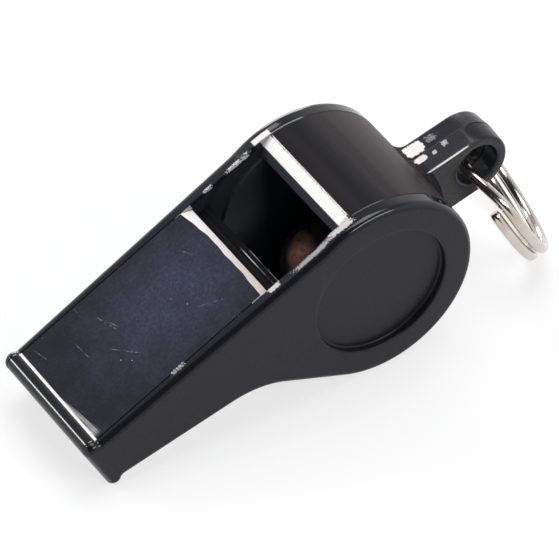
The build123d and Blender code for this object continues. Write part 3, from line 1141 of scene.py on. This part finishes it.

# Painted glints on the two edges of the windway floor's bevel
floor_edge_glints = 0.0
for point in (floor_lip, floor_nose):
    edge_zone = zone((point.x - 0.05, point.x + 0.05, 0.02), (point.y - 0.1, point.y + 0.07, 0.03))
    floor_edge_glints = plastic.most(floor_edge_glints, edge_zone)
floor_edge_glints = plastic.times(floor_edge_glints, limit(across, -half_core, 0.0, 0.8), 0.6)
floor_edge_glints = plastic.times(floor_edge_glints, plastic.ease(plastic.noise(surface, 0.4), 0.4, 0.6))
# Painted glints in dots along the weld seams
on_seam = plastic.times(limit(width, half_core - 0.06, half_core + 0.12, 0.03), limit(up, -0.3, 2.0))
on_seam = plastic.times(on_seam, above(along, 0.6, 0.3))
seam_glints = plastic.times(on_seam, plastic.ease(plastic.noise(surface, 1.3, 5.0, 0.8), 0.6, 0.72), 0.4)
wear_and_highlights = plastic.most(wear_and_highlights, seam_glints, floor_edge_glints)
rust = zone((ramp_top - 0.36, ramp_top - 0.05, 0.06), (-0.3, 0.3, 0.02), core, 0.5)
print("with scraped edges", len(plastic.tree.nodes), "nodes")

# %% [markdown]
# Knocks chipped the lug's top and the rims beside the window. Worn edges could be found from the mesh's
# curvature, but then every edge would look the same, so each chip has its own place, reach and
# raggedness. The bright line on the lug's near top edge is a painted highlight, laid in the same way, and
# the patches on the weld seams are partly painted glints.

# %% Chips
rim_reach = 0.36
rim_grain = 6.0
lug_mid = barrel + lug_up * half_height


def chip(centre, reach, ragged, strength, grain=3.2):
    """A ragged patch on the plastic, for the worn chips and for the painted highlight on the lug's edge."""
    place_of = {"Vector": surface, "Centre": centre, "Reach": reach}
    return plastic.times(plastic.use(chips, Ragged=ragged, Grain=grain, **place_of), strength)


# On the lug: out and beside, the reach in both, raggedness and strength
for out, beside, reach_out, reach_beside, ragged, strength in (
    (12.25, 1.15, 1.2, 0.95, 0.8, 1.0),
    (12.05, -0.5, 0.75, 0.45, 1.0, 0.9),
    (13.7, -0.7, 0.3, 0.25, 1.2, 0.6),
    (15.2, -0.35, 0.35, 0.45, 2.4, 0.5),
    (14.5, 1.2, 0.6, 0.45, 4.0, 0.22),
):
    centre = lug_mid + lug_out * out
    patch = chip((centre.x, beside, centre.y), (reach_out, reach_beside, 1.0), ragged, strength)
    wear_and_highlights = plastic.most(wear_and_highlights, patch)

# The patches on the weld seams, 7.62 mm across, whiten the weld beads: partly wear, partly painted glints
# On the rims: along and across, the reach in both, raggedness and strength
for at, beside, reach_along, reach_beside, ragged, strength in (
    (33.5, -8.0, 1.7, 0.45, 1.6, 0.7),
    (30.0, -8.1, 3.0, 0.3, 2.6, 0.4),
    (24.3, -7.9, 0.8, 0.35, 1.6, 0.7),
    (30.4, 7.62, 1.7, 0.26, 1.8, 0.85),
    (26.2, 7.62, 0.6, 0.2, 2.0, 0.6),
    (11.2, -7.62, 0.9, 0.24, 3.2, 0.45),
    (35.6, 8.2, 1.6, 0.3, 2.4, 0.15),
):
    patch = chip((at, beside, 0.0), (reach_along, reach_beside, rim_reach), ragged, strength, rim_grain)
    wear_and_highlights = plastic.most(wear_and_highlights, patch)

# Painted highlight along the lug's near top edge
lug_edge = lug_mid + lug_out * 14.3
lug_edge_highlight = chip((lug_edge.x, 0.1 - half_thick, lug_edge.y), (2.9, 0.075, 1.4), 0.25, 0.9)
wear_and_highlights = plastic.most(wear_and_highlights, lug_edge_highlight)
print("with chips", len(plastic.tree.nodes), "nodes")

# %% [markdown]
# The masks now lay tints over the black, from the moulding's own colour to the marks on top. Some tints
# are painted light and shade: the insides and the lug's bore are painted lighter than the black, and the
# windway floor's edge and the lug's root darker. A stack of mixed shaders could do it, but one shader
# with mixed colours is what the export can bake.

# %% Plastic colour
gloss_black = (0.0075, 0.0078, 0.0095, 1)
satin_dark = (0.0070, 0.0064, 0.0088, 1)
satin_light = (0.0128, 0.0118, 0.0165, 1)
# Painted light: the insides are lighter than the black plastic, most of all deep in the chamber
lit_inside_upper = (0.034, 0.040, 0.047, 1)
lit_inside_deep = (0.070, 0.094, 0.110, 1)
# Painted shade on the windway floor's edge
painted_floor_shade = (0.003, 0.0035, 0.0045, 1)
# Pale colour for worn chips and for the painted highlights and glints
pale_wear_and_highlight = (0.84, 0.80, 0.775, 1)
# A dimmer copy of the bevel's painted highlight, for its near end
dim_bevel_highlight = (0.52, 0.44, 0.385, 1)
pebbled = plastic.ease(plastic.noise(surface, 3.5, 3.0, 0.7), 0.3, 0.7)
lug_grain = plastic.ease(plastic.noise(surface, 2.6, 6.0, 0.8), 0.48, 0.68)
depth = plastic.ease(up, -9.0, -2.5, 1.0, 0.0)
inside = plastic.blend(depth, lit_inside_upper, lit_inside_deep)
inside = plastic.blend(shaded_floor_zone, inside, painted_floor_shade)
# The bevel's painted highlight grows dimmer towards the near plate
near_shade = plastic.ease(across, -half_core, half_core, 0.75, 0.0)
wear_and_highlight_tint = plastic.blend(plastic.times(bevel_highlight, near_shade), pale_wear_and_highlight, dim_bevel_highlight)
colour = plastic.blend(satin, gloss_black, plastic.blend(pebbled, satin_dark, satin_light))
for mask, tint in (
    # painted light inside the windway, the window and the chamber
    (indoors, inside),
    # painted light in the lug's bore
    (in_bore, (0.030, 0.034, 0.043, 1)),
    # painted shade in the lug's root
    (lug_flare, (0.0025, 0.0025, 0.004, 1)),
    (plastic.times(lug_grain, on_lug), (0.024, 0.019, 0.026, 1)),
    # painted reflection streaks on the barrel's band
    (streak_reflection, (0.042, 0.0285, 0.0270, 1)),
    # painted bluish sheen on the top face and the rims
    (haze_and_sheen, (0.069, 0.076, 0.142, 1)),
    (plastic.times(scratch, 0.42), (0.38, 0.39, 0.44, 1)),
    (plastic.times(dust, on_top, 0.8), (0.6, 0.6, 0.62, 1)),
    (rust, (0.20, 0.075, 0.05, 1)),
    # worn chips, painted highlights and painted glints, in pale plastic
    (wear_and_highlights, wear_and_highlight_tint),
    (parting, (0.002, 0.002, 0.002, 1)),
):
    colour = plastic.blend(mask, colour, tint)
plastic.link(colour, plastic_shader.inputs["Base Color"])
print("with colour", len(plastic.tree.nodes), "nodes")

# %% [markdown]
# Satin faces scatter light, and polished rims mirror it. The specular level could change from zone to
# zone, but the export keeps only a plain one, so the polish is a thin coat with its own weight. A bump
# carries what is too fine for the mesh: the lug's grain, the scratches, the crumbs of the chipped plastic
# and the speckle under the painted highlights.

# %% Plastic gloss and bump
gloss_rough = 0.12
rough = plastic.weighted(
    gloss_rough,
    (haze_and_sheen, 0.3),
    (satin, 0.24),
    (on_lug, 0.16),
    (lug_flare, 0.5),
    (strip_soft, 1.0),
    (wear_and_highlights, 0.45),
    (indoors, 0.5),
    (parting, 0.5),
)
plastic.link(rough, plastic_shader.inputs["Roughness"])
rim_polish = 0.44
dull = plastic.most(satin, on_strip, indoors, lug_flare)
polish = plastic.weighted(rim_polish, (dull, -rim_polish), (on_lug, -0.24))
plastic.link(plastic.most(polish, 0.0), plastic_shader.inputs["Coat Weight"])

height = plastic.weighted(
    plastic.times(plastic.noise(surface, 0.35, 3.0), on_top, 0.5),
    (plastic.noise(surface, 6.0), plastic.times(satin, 0.06)),
    (plastic.noise(surface, 2.2, 4.0, 0.6), plastic.times(on_lug, 0.5)),
    (scratch, -0.08),
    (wear_and_highlights, plastic.noise(surface, 7.0, 3.0, 0.7)),
)
bump = plastic.add("ShaderNodeBump", {"Strength": 0.5, "Distance": 0.05 * MM, "Height": height})
plastic.link(bump.outputs[0], plastic_shader.inputs["Normal"])
print("the plastic has", len(plastic.tree.nodes), "nodes")

# %% [markdown]
# The cork is painted dark all over as painted shade, with dark pores, and on its upper side a painted pool
# of light in reddish cork tones, where light falls in through the window. The pool could be a plain round
# spot, but the window's edges leave a leaf shape, which is what two overlapping spheres give.

# %% Cork
lit_way = Vector((-0.71, -0.19, 0.68))
leaf_way = Vector((0.84, -0.54, 0.0))
leaf_side = leaf_way * 0.58 * pea_radius
leaf_reach = 1.02 * pea_radius
lit_centre = pea_centre + lit_way * pea_radius
spot = cork.add("ShaderNodeTexCoord").outputs["Object"]
grain = cork.ease(cork.noise(spot, 700.0, 5.0, 0.65), 0.3, 0.7)
pores = cork.ease(cork.noise(spot, 1900.0, 3.0, 0.6), 0.56, 0.68)
leaf = 1.0
for middle in (lit_centre - leaf_side, lit_centre + leaf_side):
    off_middle = cork.length(cork.vector("SUBTRACT", spot, middle))
    leaf = cork.times(leaf, cork.ease(off_middle, 0.82 * leaf_reach, leaf_reach, 1.0, 0.0))
off_core = cork.length(cork.vector("SUBTRACT", spot, lit_centre))
lit_core = cork.ease(off_core, 0.1 * pea_radius, 0.5 * pea_radius, 1.0, 0.0)
# Painted shade over the cork; a painted pool of light in two reddish tones, brightest at its core
shaded_cork = cork.blend(grain, (0.020, 0.018, 0.018, 1), (0.036, 0.031, 0.030, 1))
lit_cork = cork.blend(grain, (0.25, 0.145, 0.100, 1), (0.38, 0.225, 0.160, 1))
brightest_lit_cork = cork.blend(grain, (0.78, 0.31, 0.20, 1), (1.0, 0.52, 0.36, 1))
colour = cork.blend(leaf, shaded_cork, cork.blend(lit_core, lit_cork, brightest_lit_cork))
colour = cork.blend(cork.times(pores, 0.45), colour, (0.05, 0.024, 0.018, 1))
cork.link(colour, cork_shader.inputs["Base Color"])
print("the cork has", len(cork.tree.nodes), "nodes")

# %% [markdown]
# The wire is nickel on steel, bright with a warm tint where the plate is thin. A plain metal would look
# like chrome, so a soft cloud changes its colour and its gloss a little.

# %% Nickel
spot = nickel.add("ShaderNodeTexCoord").outputs["Object"]
cloudy = nickel.ease(nickel.noise(spot, 420.0, 3.0, 0.5), 0.4, 0.75)
colour = nickel.blend(cloudy, (0.625, 0.572, 0.52, 1), (0.53, 0.465, 0.40, 1))
nickel.link(colour, nickel_shader.inputs["Base Color"])
nickel.link(nickel.weighted(0.12, (cloudy, 0.06)), nickel_shader.inputs["Roughness"])
print("the nickel has", len(nickel.tree.nodes), "nodes")

# %% [markdown]
# Each piece rides on its body, stands for its CAD node and gets its finish from the table. The weld
# beads stand for no node: they ride on the whistle beside its plates.

# %% Pieces to the frame
for made in bead_rows:
    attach(made, "whistle")
for made, body_name, node, finish, slot in (
    (right_plate, "whistle", "right_side_plate", black_plastic, "black_plastic"),
    (left_plate, "whistle", "left_side_plate", black_plastic, "black_plastic"),
    (body, "whistle", "barrel_body", black_plastic, "black_plastic"),
    (roof, "whistle", "windway_roof", black_plastic, "black_plastic"),
    (pea, "pea", "cork_pea", cork_finish, "cork"),
    (ring, "ring", "split_ring", nickel_finish, "ring_wire"),
):
    made.data.materials.clear()
    made.data.materials.append(finish)
    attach(made, body_name)
    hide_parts(node)
    print(made.name, "stands for", node)

# %% [markdown]
# The whistle lies on plain white that keeps a light shadow. A shadow catcher would drop the reflections
# in the ring, so the floor is a real plane, lifted towards white wherever the camera or a reflection sees
# it.

# %% Floor
floor_lift = 0.7
bpy.ops.mesh.primitive_plane_add(size=6, location=(0, 0, 0))
floor = bpy.context.object
floor.name = "floor"
floor_white, floor_nodes, floor_shader = material(
    "floor_white", Base_Color=(0.93, 0.93, 0.93, 1), Roughness=1.0, Specular_IOR_Level=0.0
)
lift = floor_nodes.add("ShaderNodeEmission", {"Color": (1, 1, 1, 1), "Strength": 1.0}).outputs[0]
rays = floor_nodes.add("ShaderNodeLightPath").outputs
seen = floor_nodes.most(rays["Is Camera Ray"], rays["Is Glossy Ray"], rays["Is Transmission Ray"])
mix_inputs = {0: floor_nodes.times(seen, floor_lift), 1: floor_shader.outputs[0], 2: lift}
lifted = floor_nodes.add("ShaderNodeMixShader", mix_inputs)
floor_nodes.link(lifted.outputs[0], floor_nodes.tree.nodes["Material Output"].inputs["Surface"])
floor.data.materials.append(floor_white)
print("floor lifted by", floor_lift)

# %% [markdown]
# The surround is pale, dimmer overhead, and dark behind the camera so that the side face stays black. A
# picture of a studio could light it, but a ramp on the direction needs no file.

# %% Surround
camera_right = Vector((0.83945, -0.5434, -0.00399))
camera_up = Vector((0.38370, 0.5875, 0.71252))
camera_back = Vector((-0.38486, -0.5996, 0.70164))
world = bpy.data.worlds.new("studio")
bpy.context.scene.world = world
world.use_nodes = True
sky = Nodes(world.node_tree)
direction = sky.add("ShaderNodeTexCoord").outputs["Generated"]
elevation = sky.add("ShaderNodeSeparateXYZ", {0: direction}).outputs["Z"]
ramp = sky.add("ShaderNodeValToRGB", {0: elevation})
stops = ramp.color_ramp.elements
stops[0].position = 0.42
stops[0].color = (1, 1, 1, 1)
stops[1].position = 0.72
stops[1].color = (0.46, 0.49, 0.58, 1)
stops.new(1.0).color = (0.36, 0.38, 0.46, 1)
behind = sky.ease(sky.dot(direction, camera_back), 0.6, 0.8, 1.0, 0.06)
dimmed = sky.blend(behind, (0, 0, 0, 1), ramp.outputs[0])
sky.link(dimmed, sky.tree.nodes["Background"].inputs[0])
print("surround has", len(stops), "stops")

# %% [markdown]
# Four soft lamps: one overhead, one far to the left for the rims, one behind for the barrel, and a strip
# in front for the lug's edge. Sun lamps would give hard streaks on the gloss, so all four are areas.

# %% Lamps


def lamp(name, way, distance, size, energy):
    """A square soft lamp that looks at the whistle from a direction."""
    data = bpy.data.lights.new(name, "AREA")
    data.size = size
    data.energy = energy
    made = bpy.data.objects.new(name, data)
    way = Vector(way).normalized()
    made.location = barrel_axis * MM + way * distance
    made.rotation_euler = way.to_track_quat("Z", "Y").to_euler()
    bpy.context.scene.collection.objects.link(made)
    return made


lamps = [
    lamp("overhead", (0.12, 0.1, 0.95), 0.8, 0.5, 3.4),
    lamp("left_back", (-0.62, 0.6, 0.5), 0.7, 0.12, 0.9),
    lamp("back", (0.35, 0.9, 0.22), 0.7, 0.35, 2.1),
]
front_strip = lamp("front_strip", (0.22, -0.73, 0.6), 0.7, 0.45, 1.8)
front_strip.data.shape = "RECTANGLE"
front_strip.data.size_y = 0.14
print("lamps:", [made.name for made in lamps + [front_strip]])

# %% [markdown]
# The camera stands where the photograph's did. It could be placed by eye, but its place, its three
# directions and its lens were fitted to the whistle's straight edges and to the barrel's outline.

# %% Camera
camera_lens = 418.05
camera_stand = Vector((-0.271699, -0.412679, 0.480761))
camera_data = bpy.data.cameras.new("camera")
camera_data.sensor_width = 36
camera_data.lens = camera_lens
camera = bpy.data.objects.new("camera", camera_data)
camera_turn = Matrix((camera_right, camera_up, camera_back)).transposed().to_4x4()
camera.matrix_world = Matrix.Translation(barrel_axis * MM + camera_stand) @ camera_turn
bpy.context.scene.collection.objects.link(camera)
bpy.context.scene.camera = camera
bpy.context.scene.view_settings.view_transform = "Standard"
print("camera", round(camera_stand.length, 3), "m from the barrel")
